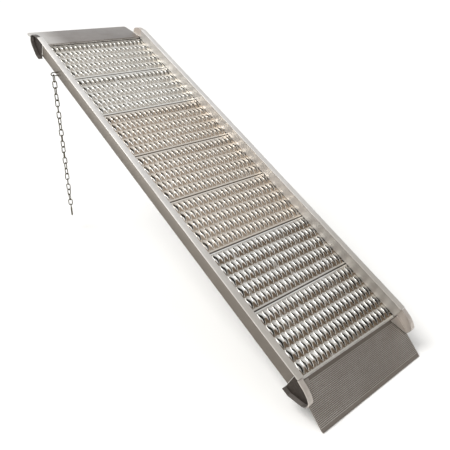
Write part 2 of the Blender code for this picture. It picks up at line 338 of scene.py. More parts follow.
@dataclass(frozen=True)
class RailWearAndShade(Aluminium):
    """Rail metal: pale flange and curb, a browner outer web, painted shade under the flanges and
    in the corners below the deck.
    """

    web: Colour = (0.35, 0.315, 0.27)
    web_low: Colour = (0.17, 0.147, 0.123)
    lower_tone: Wash = Wash((0.46, 0.43, 0.38), 0.5)
    foot_shadow: Wash = Wash((0.018, 0.014, 0.011), 0.92)
    flange_share: float = 0.6
    lower_share: float = 0.85
    under_lip_shade_share: float = 0.6
    outer_face: Band = (0.2985, 0.2995)
    inner_face: Band = (0.2975, 0.2965)
    below_flange: Band = (0.0495, 0.0485)
    web_fall: Band = (0.048, -0.040)
    flange_shadow: Band = (0.040, 0.0485)
    lower_end: Band = (1.3, 0.1)
    lower_tone_end: Band = (0.9, 0.1)
    below_deck: Band = (0.0035, -0.0005)
    under_lip_shade: Band = (0.046, 0.0495)
    lip_edge: Band = (0.0505, 0.0495)

    def dress(self, g: Graph, metal: Value) -> Value:
        """Darkens the outer web toward its foot, paints shade under the top flange and under the
        inner lip, and paints shade on all that lies inside below the deck.

        Args:
            g: the material's graph.
            metal: the plain colour.

        Returns:
            The dressed colour.
        """
        across, along, height = g.deck_axes()
        across = abs(across)
        outer = g.span(across, self.outer_face) * g.span(height, self.below_flange)
        tone = g.blend(g.span(height, self.web_fall), self.web, self.web_low)
        # painted shade on the outer web just under the top flange
        shadow = g.span(height, self.flange_shadow)
        tone = g.wash(tone, shadow, Wash(self.web_low, self.flange_share))
        lower = g.span(along, self.lower_end)
        tone = g.wash(tone, lower, Wash(self.web_low, self.lower_share))
        # darker toward the ramp's lower end
        metal = g.wash(metal, g.span(along, self.lower_tone_end), self.lower_tone)
        metal = g.blend(outer, metal, tone)
        inner = g.span(across, self.inner_face)
        # painted shade, near black, on the inner faces below the deck's top
        metal = g.wash(metal, inner * g.span(height, self.below_deck), self.foot_shadow)
        # painted shade: a dark line under the lip on the inner face
        under_lip_shade = inner * g.span(height, self.under_lip_shade) * g.span(height, self.lip_edge)
        return g.wash(metal, under_lip_shade, Wash(self.web_low, self.under_lip_shade_share))


@dataclass(frozen=True)
class LipMetal(Aluminium):
    """Lip plate metal, paler toward its left side."""

    left_lightening: Wash = Wash((0.60, 0.58, 0.55), 0.9)
    lightened_side: Band = (-0.12, -0.27)

    def dress(self, g: Graph, metal: Value) -> Value:
        """Lightens the left side."""
        across, _, _ = g.deck_axes()
        return g.wash(metal, g.span(across, self.lightened_side), self.left_lightening)


@dataclass(frozen=True)
class ShoeMetal(Aluminium):
    """Shoe metal: a dark brown web, its darkness partly painted shade of its recess, inside a
    paler rim; the left shoes carry the most painted shade.
    """

    rim: Wash = Wash((0.68, 0.63, 0.585), 0.9)
    shaded_rim: Wash = Wash((0.238, 0.2205, 0.20475), 0.5)
    left_side: Band = (0.01, -0.01)
    lit_height: Band = (-0.020, 0.015)
    lower_end: Band = (2.02, 1.98)
    web_inner: Band = (0.3035, 0.3045)
    web_outer: Band = (0.3070, 0.3060)
    web_facing: Band = (0.6, 0.8)

    def dress(self, g: Graph, metal: Value) -> Value:
        """Lightens the rim, which is first painted a shade darker; on the left shoes, which keep
        painted shade, only the upper part of the lower shoe, painted as lit.

        Args:
            g: the material's graph.
            metal: the plain colour.

        Returns:
            The dressed colour.
        """
        across, along, height = g.deck_axes()
        left = g.span(across, self.left_side)
        wear_and_light = g.span(height, self.lit_height) * g.span(along, self.lower_end)
        across = abs(across)
        facing = abs(g.normal()[0])
        web = g.span(across, self.web_inner) * g.span(across, self.web_outer)
        rim = 1.0 - web * g.span(facing, self.web_facing)
        # the rim painted a shade darker first; right shoes' rims then made pale, left shoes' rims
        # kept in painted shade but for the lit top of the lower shoe
        metal = g.wash(metal, rim, self.shaded_rim)
        return g.wash(metal, rim * (1.0 - left * (1.0 - wear_and_light)), self.rim)


@dataclass(frozen=True)
class RibbedMetal(Aluminium):
    """Toe plate metal: pale rib crests and grooves painted dark with shade."""

    tilt: float = math.radians(18.6)
    start: tuple[float, float] = (-0.00269, 0.010)
    length: float = 0.182
    right_tone: Wash = Wash((0.235, 0.20, 0.168), 0.45)
    groove_shade_share: float = 0.82
    tip_share: float = 0.5
    right_tone_side: Band = (-0.30, 0.05)
    groove_shade: Band = (-0.0004, -0.0012)
    tip: Band = (0.0045, 0.001)

    def dress(self, g: Graph, metal: Value) -> Value:
        """Paints shade in the grooves between the ribs, and darkens the toe.

        Args:
            g: the material's graph.
            metal: the plain colour.

        Returns:
            The dressed colour.
        """
        across, along, height = g.deck_axes()
        # darker and browner toward the right side
        metal = g.wash(metal, g.span(across, self.right_tone_side), self.right_tone)
        along, height = along - self.start[0], height - self.start[1]
        cosine, sine = math.cos(self.tilt), math.sin(self.tilt)
        reach = (along * cosine + height * sine) * -1.0
        rise = height * cosine - along * sine
        # painted shade in the grooves, below the rib crests
        groove_shade = g.span(rise, self.groove_shade)
        metal = g.wash(metal, groove_shade, Wash(self.grime, self.groove_shade_share))
        tip = g.span(reach, (self.length - self.tip[0], self.length - self.tip[1]))
        return g.wash(metal, tip, Wash(self.grime, self.tip_share))


@dataclass(frozen=True)
class TreadMetal(Aluminium):
    """Plank metal: bright teeth with a painted highlight, painted shade on the downhill side of
    every hump, openings painted dark as shade.
    """

    row_pitch: float = 0.056
    column_pitch: float = 0.02605
    deck_pitch: float = 0.3
    hump: float = 0.0056
    downhill_shade: Colour = (0.25, 0.192, 0.137)
    middle_downhill_shade: Colour = (0.50, 0.41, 0.32)
    upper_downhill_shade: Wash = Wash((0.62, 0.58, 0.51), 0.9)
    middle_wash: Wash = Wash((0.80, 0.72, 0.62), 0.85)
    upper_wash: Wash = Wash((0.92, 0.90, 0.84), 0.6)
    valley_shade: Colour = (0.38, 0.345, 0.30)
    tooth_highlight: Wash = Wash((0.96, 0.94, 0.89), 0.8)
    spark_wash: Wash = Wash((0.98, 0.97, 0.94), 0.55)
    spark_loss: float = 0.6
    opening_shade: Wash = Wash((0.008, 0.0065, 0.005), 0.985)
    joint_shade: Wash = Wash((0.10, 0.078, 0.058), 0.85)
    inset_shade: Wash = Wash((0.20, 0.17, 0.14), 0.35)
    wander_pattern: Pattern = Pattern(7.0, 3.0)
    spark_pattern: Pattern = Pattern(26.0, 2.0)
    spark_stretch: Place = (1.0, 0.6, 1.0)
    middle_start: Band = (0.597, 0.603)
    middle_end: Band = (1.503, 1.497)
    upper_start: Band = (1.497, 1.503)
    margin: Band = (0.1388, 0.1400)
    inset_start: Band = (0.1375, 0.1395)
    inset_end: Band = (0.1425, 0.1405)
    joint: Band = (0.1462, 0.1478)
    downhill_shade_lag: float = 0.22
    downhill_shade_side: Band = (0.0, -0.42)
    downhill_shade_patches: Band = (0.25, 0.5)
    downhill_shade_share: Band = (0.72, 1.0)
    teeth: Band = (-0.0004, 0.0003)
    wall_top: Band = (-0.0013, -0.0017)
    wall_foot: Band = (-0.0040, -0.0032)
    hole_half: Band = (-0.002, 0.002)
    hole_share: Band = (0.3, 1.0)
    valley: Band = (0.0016, 0.0002)
    valley_reach: Band = (0.3, 1.6)
    valley_share: Band = (0.55, 0.25)
    sparks: Band = (0.58, 0.70)
    depth: Band = (-0.0030, -0.0042)
    deep_facing: Band = (-0.75, -0.45)
    deep_reach: Band = (0.2, 1.9)
    deep_share: Band = (0.95, 0.5)

    def dress(self, g: Graph, metal: Value) -> Value:
        """Lays painted shade on the downhill sides, the beige bloom of the middle planks, and
        painted shade in the openings.

        Args:
            g: the material's graph.
            metal: the plain colour.

        Returns:
            The dressed colour.
        """
        across, along, height = g.deck_axes()
        local = along % self.deck_pitch - self.deck_pitch / 2
        turn = local * (2 * math.pi / self.row_pitch)
        crest = (g.maths("COSINE", turn) * 0.5 + 0.5) * self.hump
        proud = height - crest
        local = abs(local)
        inside = 1.0 - g.span(local, self.margin)
        middle = g.span(along, self.middle_start) * g.span(along, self.middle_end)
        upper = g.span(along, self.upper_start)

        # each stretch of planks has its own tone and its own colour of painted shade
        downhill_shade = g.blend(middle, self.downhill_shade, self.middle_downhill_shade)
        downhill_shade = g.wash(downhill_shade, upper, self.upper_downhill_shade)
        metal = g.wash(metal, middle, self.middle_wash)
        metal = g.wash(metal, upper, self.upper_wash)

        # painted highlight on the teeth and upper walls, painted shade in the valleys and on the
        # downhill sides
        # teeth: bright cut metal with a painted highlight, stronger on one side of each opening;
        # upper walls painted lit
        wall = g.span(proud, self.wall_top) * g.span(proud, self.wall_foot)
        hole = across % self.column_pitch - self.column_pitch / 2
        rim = g.maths("MAXIMUM", g.span(proud, self.teeth), wall)
        rim = rim * g.span(hole, self.hole_half, self.hole_share)
        # painted shade in the low valleys between humps, strongest on the lower planks
        valley = g.span(crest, self.valley) * inside * (1.0 - rim)
        valley = valley * g.span(along, self.valley_reach, self.valley_share)
        metal = g.blend(valley, metal, self.valley_shade)
        # painted shade on the downhill side of every hump, in patches
        side = g.span(g.maths("SINE", turn + self.downhill_shade_lag), self.downhill_shade_side) * inside
        wander = g.noise(g.deck_place(), self.wander_pattern)
        side = side * (1.0 - rim) * g.span(wander, self.downhill_shade_patches, self.downhill_shade_share)
        metal = g.blend(side, metal, downhill_shade)
        metal = g.wash(metal, rim, self.tooth_highlight)
        # painted glints: scattered bright spots, weaker on the middle planks
        spark = g.noise(g.deck_place(self.spark_stretch), self.spark_pattern)
        spark = g.span(spark, self.sparks) * (1.0 - middle * self.spark_loss)
        metal = g.wash(metal, spark, self.spark_wash)

        # painted shade inside the openings, in the joints and in a line along the plain margins
        facing = g.normal()[2]
        deep = g.span(proud, self.depth) * g.span(facing, self.deep_facing) * inside
        deep = deep * g.span(along, self.deep_reach, self.deep_share)
        metal = g.wash(metal, deep, self.opening_shade)
        metal = g.wash(metal, g.span(local, self.joint), self.joint_shade)
        inset = g.span(local, self.inset_start) * g.span(local, self.inset_end)
        return g.wash(metal, inset, self.inset_shade)


@dataclass(frozen=True)
class PlatedSteel:
    """Weathered zinc-plated chain steel."""

    name: str
    colour: Colour
    rust: Colour
    roughness: float = 0.42
    metallic: float = 0.95
    bump: float = 0.3
    bump_depth: float = 0.0002
    cloud_pattern: Pattern = Pattern(60.0, 5.0, 0.6)
    speck_pattern: Pattern = Pattern(240.0, 4.0, 0.7)
    worn_pattern: Pattern = Pattern(110.0, 3.0)
    specks: Band = (0.55, 0.72)
    wear_and_light: Band = (0.5, 0.7)
    cloud_shade: float = 0.7
    cloud_rough: float = 0.2
    worn_gain: float = 1.8
    worn_share: float = 0.4
    rust_share: float = 0.6
    speck_rough: float = 0.3
    speck_dulling: float = 0.6
    speck_height: float = 0.5
    mean_roughening: float = 0.15

    def make(self) -> bpy.types.Material:
        """Builds the material.

        Returns:
            The material.
        """
        g = Graph(bpy.data.materials.new(self.name))
        place = g.deck_place()
        cloud = g.noise(place, self.cloud_pattern)
        speck = g.span(g.noise(place, self.speck_pattern), self.specks)
        wear_and_light = g.span(g.noise(place, self.worn_pattern), self.wear_and_light)
        metal = g.blend(cloud, scaled(self.colour, self.cloud_shade), self.colour)
        bared = Wash(scaled(self.colour, self.worn_gain), self.worn_share)
        metal = g.wash(metal, wear_and_light, bared)
        g.feed("Base Color", g.wash(metal, speck, Wash(self.rust, self.rust_share)))
        rough = cloud * self.cloud_rough + speck * self.speck_rough
        g.feed("Roughness", rough + (self.roughness - self.mean_roughening))
        g.feed("Metallic", self.metallic - speck * self.speck_dulling)
        g.bump(cloud + speck * self.speck_height, self.bump, self.bump_depth)
        return g.owner


class Palette:
    """Every finish of the ramp, built once."""

    def __init__(self) -> None:
        """Builds the materials."""
        brown = (0.085, 0.062, 0.045)
        self.tread = TreadMetal(
            "tread_metal", colour=(0.86, 0.845, 0.80), shade=(0.68, 0.66, 0.615), grime=brown,
            grain=Grain.ALONG, roughness=0.32, grime_amount=0.15, bump=0.2).make()
        self.rail = RailWearAndShade(
            "rail_metal", colour=(0.77, 0.75, 0.725), shade=(0.64, 0.62, 0.595),
            grime=(0.30, 0.26, 0.225), grain=Grain.ALONG, roughness=0.50, grime_amount=0.35,
            metallic=0.72).make()
        self.lip = LipMetal(
            "lip_metal", colour=(0.34, 0.312, 0.29), shade=(0.27, 0.247, 0.228),
            grime=(0.17, 0.145, 0.125), grain=Grain.ACROSS, roughness=0.42,
            grime_amount=0.35).make()
        self.toe = RibbedMetal(
            "toe_metal", colour=(0.62, 0.60, 0.57), shade=(0.48, 0.45, 0.415),
            grime=(0.15, 0.125, 0.105), grain=Grain.ACROSS, roughness=0.42,
            grime_amount=0.3).make()
        self.corner = Aluminium(
            "corner_metal", colour=(0.42, 0.39, 0.36), shade=(0.33, 0.30, 0.27), grime=brown,
            grain=Grain.NONE, roughness=0.45).make()
        # the shoe's near-black colour is brown metal darkened with painted shade of its recessed
        # web
        self.shoe = ShoeMetal(
            "shoe_metal", colour=(0.075, 0.062, 0.054), shade=(0.045, 0.037, 0.032),
            grime=(0.03, 0.024, 0.02), grain=Grain.NONE, roughness=0.50).make()
        self.weld = Aluminium(
            "weld_metal", colour=(0.72, 0.70, 0.67), shade=(0.50, 0.47, 0.44),
            grime=(0.14, 0.11, 0.09), grain=Grain.NONE, roughness=0.38).make()
        self.chain = PlatedSteel(
            "chain_steel", colour=(0.105, 0.092, 0.060), rust=(0.03, 0.021, 0.013)).make()


# --------------------------------------------------------------------------- modelling


def deselect_all() -> None:
    """Leaves nothing selected, so that an operator acts only on its own piece."""
    if bpy.context.object and bpy.context.object.mode != "OBJECT":
        bpy.ops.object.mode_set(mode="OBJECT")
    bpy.ops.object.select_all(action="DESELECT")


def take_up(piece: bpy.types.Object) -> None:
    """Selects one piece alone and makes it the active one.

    Args:
        piece: the piece.
    """
    deselect_all()
    piece.select_set(True)
    bpy.context.view_layer.objects.active = piece


def open_whole(piece: bpy.types.Object) -> None:
    """Opens a piece in edit mode with all of it selected.

    Args:
        piece: the piece.
    """
    take_up(piece)
    bpy.ops.object.mode_set(mode="EDIT")
    bpy.ops.mesh.select_all(action="SELECT")


def place_object(name: str, data: bpy.types.ID) -> bpy.types.Object:
    """Puts an object round a mesh, curve, light or camera into the scene.

    Args:
        name: the object's name.
        data: what it holds.

    Returns:
        The object.
    """
    made = bpy.data.objects.new(name, data)
    bpy.context.scene.collection.objects.link(made)
    return made


def move_selected(piece: bpy.types.Object, rule: Callable[[Vector], Vector]) -> None:
    """Moves each selected point of a piece in edit mode.

    Args:
        piece: the piece.
        rule: gives a point's new place from its old one.
    """
    mesh = bmesh.from_edit_mesh(piece.data)
    for point in mesh.verts:
        if point.select:
            point.co = rule(point.co)
    bmesh.update_edit_mesh(piece.data)


def select_edges(piece: bpy.types.Object, test: Callable[[Vector, Vector], bool]) -> None:
    """Selects only the edges whose two ends pass a test, in edit mode.

    Args:
        piece: the piece.
        test: whether an edge between two points is wanted.
    """
    bpy.ops.mesh.select_all(action="DESELECT")
    mesh = bmesh.from_edit_mesh(piece.data)
    for edge in mesh.edges:
        if test(*(point.co for point in edge.verts)):
            edge.select_set(True)
    bmesh.update_edit_mesh(piece.data)


def apply_modifiers(piece: bpy.types.Object) -> None:
    """Applies every modifier of a piece, in order.

    Args:
        piece: the piece.
    """
    take_up(piece)
    for modifier in list(piece.modifiers):
        bpy.ops.object.modifier_apply(modifier=modifier.name)


def settle(piece: bpy.types.Object, matrix: Matrix) -> None:
    """Moves a piece and puts its place into its mesh, its object at the origin.

    Args:
        piece: the piece.
        matrix: where it goes.
    """
    piece.matrix_world = matrix @ piece.matrix_world
    take_up(piece)
    bpy.ops.object.transform_apply(location=True, rotation=True, scale=True)


def bent_bar(
    name: str, points: list[Place], radius: float, facets: int,
    swells: list[float] | None = None,
) -> bpy.types.Object:
    """A round bar along a path, as a closed mesh.

    Args:
        name: the object's name.
        points: the path.
        radius: the bar's radius.
        facets: how finely its section is divided.
        swells: factors on the radius at each point, or none for a plain bar.

    Returns:
        The bar.
    """
    curve = bpy.data.curves.new(name, "CURVE")
    curve.dimensions = "3D"
    curve.bevel_depth = radius
    curve.bevel_resolution = facets
    curve.use_fill_caps = True
    spline = curve.splines.new("POLY")
    spline.points.add(len(points) - 1)
    for index, (point, place) in enumerate(zip(spline.points, points)):
        point.co = (*place, 1)
        if swells:
            point.radius = swells[index]
    bar = place_object(name, curve)
    take_up(bar)
    bpy.ops.object.convert(target="MESH")
    return bar


def arc(centre: Band, radius: float, start: float, sweep: float, steps: int) -> list[Place]:
    """Points round a part of a circle that stands in the X-Z plane.

    Args:
        centre: the circle's X and Z.
        radius: its radius.
        start: the first point's angle, in degrees.
        sweep: how far it goes round, in degrees.
        steps: how many steps it takes.

    Returns:
        The points, both ends included.
    """
    angles = [math.radians(start + sweep * step / steps) for step in range(steps + 1)]
    return [(centre[0] + radius * math.cos(a), 0.0, centre[1] + radius * math.sin(a))
            for a in angles]


def finish_piece(
    piece: bpy.types.Object, name: str, body: str, material: bpy.types.Material,
    stands_for: tuple[str, ...] = (), angle: float = 40.0,
) -> None:
    """Names, shades and dresses a piece, and lets it ride on its body.

    Args:
        piece: the finished mesh, in place.
        name: the piece's name.
        body: the CAD body that it moves with.
        material: its finish.
        stands_for: CAD nodes that it replaces.
        angle: edges sharper than this stay sharp, in degrees.
    """
    piece.name = name
    piece.data.name = name
    open_whole(piece)
    bpy.ops.mesh.remove_doubles(threshold=SAME_POINT / 2)
    bpy.ops.mesh.normals_make_consistent(inside=False)
    bpy.ops.object.mode_set(mode="OBJECT")
    bpy.ops.object.shade_smooth_by_angle(angle=math.radians(angle))
    piece.data.materials.clear()
    piece.data.materials.append(material)
    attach(piece, body)
    if stands_for:
        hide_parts(*stands_for)
    LOG.info("made %s", name)


# ------------------------------------------------------------------------- assemblies


@dataclass
class SerratedDeck:
    """The deck's planks: rows of humped strands with diamond openings and a serrated rim."""

    palette: Palette
    count: int = 7
    pitch: float = 0.3
    width: float = 0.2985
    length: float = 0.5894
    depth: float = 0.038
    bend: float = 0.0045
    bend_steps: int = 4
    sheet: float = 0.0016
    columns: int = 22
    rows: int = 5
    column_pitch: float = 0.02605
    row_pitch: float = 0.056
    ring: int = 32
    corner_step: int = 7
    half_x: float = 0.0078
    half_y: float = 0.0268
    hump: float = 0.0056
    wall: float = 0.0125
    waist_draft: float = 0.88
    tip_draft: float = 0.97
    bulge: float = 0.9
    tooth: float = 0.0009
    proud: float = 0.0008
    tip_flattening: float = 0.7
    shoulder: float = 0.0020
    shoulder_taper: float = 0.4
    shoulder_drop: float = 0.0008
    shoulder_stretch: float = 1.03
    valley_drop: float = 0.0012
    lead_in: float = 0.002
    lead_in_height: float = 0.25
    notch: float = 0.0125
    notch_start: float = 0.0015
    top_floor: float = -0.0005

    @property
    def quarter(self) -> int:
        """Steps in a quarter of the ring round an opening."""
        return self.ring // 4

    @property
    def edge_x(self) -> float:
        """Where the openings stop, across."""
        return self.columns / 2 * self.column_pitch

    @property
    def edge_y(self) -> float:
        """Where the openings stop, along."""
        return self.rows / 2 * self.row_pitch

    def strand_height(self, y: float) -> float:
        """How high a strand stands at a distance from its crest."""
        return self.hump * math.cos(math.pi * min(abs(y) / self.row_pitch, 0.5)) ** 2

    def share(self, y: float, full: float) -> float:
        """How far along its quarter a point stands, from the waist at 0 to the tip at 1."""
        return round(abs(y) / full * self.quarter) / self.quarter

    def foot(self, p: Vector) -> Vector:
        """The lower edge of an opening's wall.

        Args:
            p: a point of the unit circle.

        Returns:
            Its place.
        """
        turned = math.atan2(abs(p.y), abs(p.x)) / QUARTER_TURN
        t = round(turned * self.quarter) / self.quarter
        bulge = (1 - t) * (1 + self.bulge * t)
        x = math.copysign(self.half_x * self.waist_draft * bulge, p.x)
        y = math.copysign(self.half_y * self.tip_draft * t, p.y)
        return Vector((x, y, self.strand_height(y) - self.wall))

    def rim(self, p: Vector) -> Vector:
        """The serrated upper edge of the wall.

        Args:
            p: a point of the foot.

        Returns:
            Its place.
        """
        x, y = p.x / self.waist_draft, p.y / self.tip_draft
        t = self.share(y, self.half_y)
        tooth = self.tooth if round(t * self.quarter) % 2 else -self.tooth
        rise = (self.proud + tooth) * (1.0 - self.tip_flattening * t ** 3)
        return Vector((x, y, self.strand_height(y) + rise))

    def shoulder_point(self, p: Vector) -> Vector:
        """The strand's top, just outside the teeth.

        Args:
            p: a point of the rim.

        Returns:
            Its place.
        """
        t = self.share(p.y, self.half_y)
        out = self.shoulder * (1 - self.shoulder_taper * t) if t < 1 else 0.0
        y = p.y * self.shoulder_stretch
        x = p.x + math.copysign(out, p.x)
        return Vector((x, y, self.strand_height(y) - self.shoulder_drop))

    def border(self, p: Vector) -> Vector:
        """The tile's edge, shared with its neighbours.

        Args:
            p: a point of the shoulder.

        Returns:
            Its place.
        """
        t = self.share(p.y, self.half_y * self.shoulder_stretch)
        corner = self.corner_step / self.quarter
        side, end = self.column_pitch / 2, self.row_pitch / 2
        x = side if t <= corner else side * (1.0 - t) / (1.0 - corner)
        y = end * min(t / corner, 1.0)
        drop = self.valley_drop * math.cos(math.pi * y / self.row_pitch)
        z = max(self.strand_height(y) - drop, 0.0)
        return Vector((math.copysign(x, p.x), math.copysign(y, p.y), z))

    def tile(self) -> bpy.types.Object:
        """One opening and the metal round it, grown ring by ring from the foot of its wall.

        Returns:
            The tile, round the origin.
        """
        deselect_all()
        bpy.ops.mesh.primitive_circle_add(
            vertices=self.ring, radius=1.0, fill_type="NOTHING")
        piece = bpy.context.object
        open_whole(piece)
        move_selected(piece, self.foot)
        for rule in (self.rim, self.shoulder_point, self.border):
            bpy.ops.mesh.extrude_region_move()
            move_selected(piece, rule)
        bpy.ops.object.mode_set(mode="OBJECT")
        return piece

    def spread(self, piece: bpy.types.Object) -> None:
        """Repeats the tile over the whole plank.

        Args:
            piece: the tile.
        """
        corner = (self.column_pitch / 2 - self.edge_x, self.row_pitch / 2 - self.edge_y, 0)
        settle(piece, Matrix.Translation(corner))
        for name, count, step in (
            ("columns", self.columns, (self.column_pitch, 0, 0)),
            ("rows", self.rows, (0, self.row_pitch, 0)),
        ):
            array = piece.modifiers.new(name, "ARRAY")
            array.count = count
            array.use_relative_offset = False
            array.use_constant_offset = True
            array.constant_offset_displace = step
            array.use_merge_vertices = True
            array.merge_threshold = 5 * SAME_POINT
        apply_modifiers(piece)

    def grow_sides(self, piece: bpy.types.Object) -> None:
        """Grows the plain margins, in edit mode, and turns the two long sides down.

        Args:
            piece: the spread tiles.
        """
        at_edge = 10 * SAME_POINT
        lead = self.edge_x + self.lead_in
        for side in (-1, 1):
            select_edges(piece, lambda a, b: all(
                abs(p.x - side * self.edge_x) < at_edge for p in (a, b)))
            bpy.ops.mesh.extrude_region_move()
            move_selected(piece, lambda p: Vector(
                (side * lead, p.y, p.z * self.lead_in_height)))
            bpy.ops.mesh.extrude_region_move()
            move_selected(piece, lambda p: Vector((side * self.length / 2, p.y, 0)))
        flat = self.width / 2 - self.bend
        profile = [(flat, 0.0)]
        for step in range(1, self.bend_steps + 1):
            turn = QUARTER_TURN * step / self.bend_steps
            profile.append((flat + self.bend * math.sin(turn),
                            self.bend * math.cos(turn) - self.bend))
        profile.append((self.width / 2, -self.depth))
        for side in (-1, 1):
            select_edges(piece, lambda a, b: all(
                abs(p.y - side * self.edge_y) < at_edge for p in (a, b)))
            for y, z in profile:
                bpy.ops.mesh.extrude_region_move()
                move_selected(piece, lambda p: Vector((p.x, side * y, z)))

    def cut_notches(self, piece: bpy.types.Object) -> None:
        """Cuts the small square openings beside the rails, in edit mode.

        Args:
            piece: the plank, before its thickness.
        """
        bpy.ops.mesh.select_mode(type="FACE")
        bpy.ops.mesh.select_all(action="DESELECT")
        mesh = bmesh.from_edit_mesh(piece.data)
        for face in mesh.faces:
            middle = face.calc_center_median()
            along = self.edge_y - self.notch < abs(middle.y) < self.edge_y
            beside = abs(middle.x) > self.edge_x + self.notch_start
            if along and beside and middle.z > self.top_floor:
                face.select_set(True)
        bmesh.update_edit_mesh(piece.data)
        bpy.ops.mesh.delete(type="FACE")
        bpy.ops.mesh.select_mode(type="EDGE")

    def plank(self) -> bpy.types.Object:
        """A whole plank: tiles side by side, plain margins and turned-down sides.

        Returns:
            The plank, its top middle at the origin.
        """
        piece = self.tile()
        self.spread(piece)
        bpy.ops.object.mode_set(mode="EDIT")
        bpy.ops.mesh.select_mode(type="EDGE")
        self.grow_sides(piece)
        self.cut_notches(piece)
        open_whole(piece)
        bpy.ops.mesh.remove_doubles(threshold=SAME_POINT)
        bpy.ops.mesh.normals_make_consistent(inside=False)
        mesh = bmesh.from_edit_mesh(piece.data)
        if max(mesh.faces, key=lambda face: abs(face.normal.z)).normal.z < 0:
            bpy.ops.mesh.flip_normals()
        bpy.ops.object.mode_set(mode="OBJECT")
        thick = piece.modifiers.new("sheet", "SOLIDIFY")
        thick.thickness = self.sheet
        thick.offset = -1.0
        apply_modifiers(piece)
        return piece

    def build(self) -> None:
        """Models one plank and lays its copies up the ramp."""
        pattern = self.plank()
        for number in range(1, self.count + 1):
            piece = place_object("plank", pattern.data.copy())
            settle(piece, DECK @ Matrix.Translation((0, (number - 0.5) * self.pitch, 0)))
            finish_piece(
                piece, f"serrated_plank_{number}", "ramp", self.palette.tread,
                (f"tread_plank_{number}",), angle=50.0)
        bpy.data.objects.remove(pattern, do_unlink=True)


@dataclass
class Framework:
    """The rails, end plates, shoes and tubes: CAD shapes with softened edges and finishes."""

    palette: Palette
    nodes: dict[str, bpy.types.Object]
    edge: float = 0.0007
    thin_edge: float = 0.0004
    edge_steps: int = 2
    flat_angle: float = 0.5
    sharp_angle: float = 35.0

    def refined_copy(self, node: bpy.types.Object, edge: float) -> bpy.types.Object:
        """A copy of a CAD node with its triangles joined and its edges softened.

        Args:
            node: the CAD node.
            edge: width of the softened edges, in metres.

        Returns:
            The new piece, at rest in the row frame.
        """
        piece = place_object("refined", node.data.copy())
        open_whole(piece)
        bpy.ops.mesh.remove_doubles(threshold=SAME_POINT)
        bpy.ops.mesh.dissolve_limited(angle_limit=math.radians(self.flat_angle))
        bpy.ops.object.mode_set(mode="OBJECT")
        bevel = piece.modifiers.new("edges", "BEVEL")
        bevel.width = edge
        bevel.segments = self.edge_steps
        bevel.limit_method = "ANGLE"
        bevel.angle_limit = math.radians(self.sharp_angle)
        apply_modifiers(piece)
        return piece

    def build(self) -> None:
        """Refines and dresses every fixed CAD node but the planks and the chain's eye."""
        rail, plate, shoe = "aluminium_rail", "aluminium_plate", "aluminium_shoe"
        looks = self.palette
        plan = {
            "side_rail": (looks.rail, rail, self.thin_edge),
            "lip_plate": (looks.lip, plate, self.edge),
            "approach_plate": (looks.toe, plate, self.thin_edge),
            "cross_tube_upper": (looks.lip, plate, self.edge),
            "cross_tube_lower": (looks.corner, plate, self.edge),
            "corner_plate": (looks.corner, plate, self.edge),
            "end_shoe_upper": (looks.shoe, shoe, self.edge),
            "end_shoe_lower": (looks.shoe, shoe, self.edge),
        }
        for name, (material, slot, edge) in plan.items():
            single = name in self.nodes
            for node in (name,) if single else (f"{name}_left", f"{name}_right"):
                piece = self.refined_copy(self.nodes[node], edge)
                finish_piece(
                    piece, f"{node}_metal", "ramp", material, (node,), angle=32.0)


@dataclass
class WeldBeads:
    """Rippled fillet welds where the end plates, shoes and corner plates meet.

    A line that runs along one side of the ramp is laid on its other side too.
    """

    palette: Palette
    radius: float = 0.0032
    ripple: float = 0.0028
    facets: int = 8
    least_steps: int = 6
    dip: float = 0.82
    tip: float = 0.35
    lines: dict[str, tuple[Place, Place]] = field(default_factory=lambda: {
        "toe": ((0.2975, -0.004, 0.0105), (0.2975, -0.078, -0.0145)),
        "lip": ((0.2975, 2.104, 0.0105), (0.2975, 2.176, -0.0055)),
        "deck_toe": ((-0.292, -0.0005, 0.0035), (0.292, -0.0005, 0.0035)),
        "deck_lip": ((-0.292, 2.1005, 0.0035), (0.292, 2.1005, 0.0035)),
        "seam_lower": ((0.3012, 0.0215, -0.036), (0.3012, 0.0215, 0.044)),
        "seam_upper": ((0.3012, 2.0785, -0.036), (0.3012, 2.0785, 0.044)),
    })

    def bead(self, start: Vector, end: Vector) -> bpy.types.Object:
        """One bead: a round bar swollen at every ripple and tapered at both ends.

        Args:
            start: its first end, in the deck's frame.
            end: its other end.

        Returns:
            The bead, in place.
        """
        run = end - start
        half = run.length / 2
        steps = max(self.least_steps, round(run.length / self.ripple) * 2)
        deselect_all()
        bpy.ops.mesh.primitive_cylinder_add(
            vertices=self.facets, radius=self.radius, depth=run.length,
            end_fill_type="TRIFAN")
        piece = bpy.context.object
        open_whole(piece)
        select_edges(piece, lambda a, b: abs(a.z - b.z) > run.length * 0.9)
        bpy.ops.mesh.subdivide(number_cuts=steps - 1)
        bpy.ops.mesh.select_all(action="SELECT")

        def swell(p: Vector) -> Vector:
            """A point of the bar, moved in or out by the ripple at its height.

            Args:
                p: the point.

            Returns:
                Its place.
            """
            phase = round((p.z + half) / run.length * steps)
            taper = min(1.0, (half - abs(p.z)) / (2 * self.radius) + self.tip)
            size = (1.0 if phase % 2 else self.dip) * taper
            return Vector((p.x * size, p.y * size, p.z))

        move_selected(piece, swell)
        bpy.ops.object.mode_set(mode="OBJECT")
        turn = Vector((0, 0, 1)).rotation_difference(run).to_matrix().to_4x4()
        settle(piece, DECK @ Matrix.Translation((start + end) / 2) @ turn)
        return piece

    def build(self) -> None:
        """Lays every bead."""
        for name, ends in self.lines.items():
            start, end = (Vector(point) for point in ends)
            beside = start.x == end.x
            for side, sign in (("_left", -1), ("_right", 1)) if beside else (("", 1),):
                mirror = Matrix.Diagonal((sign, 1, 1))
                piece = self.bead(mirror @ start, mirror @ end)
                finish_piece(
                    piece, f"weld_{name}{side}", "ramp", self.palette.weld,
                    angle=60.0)


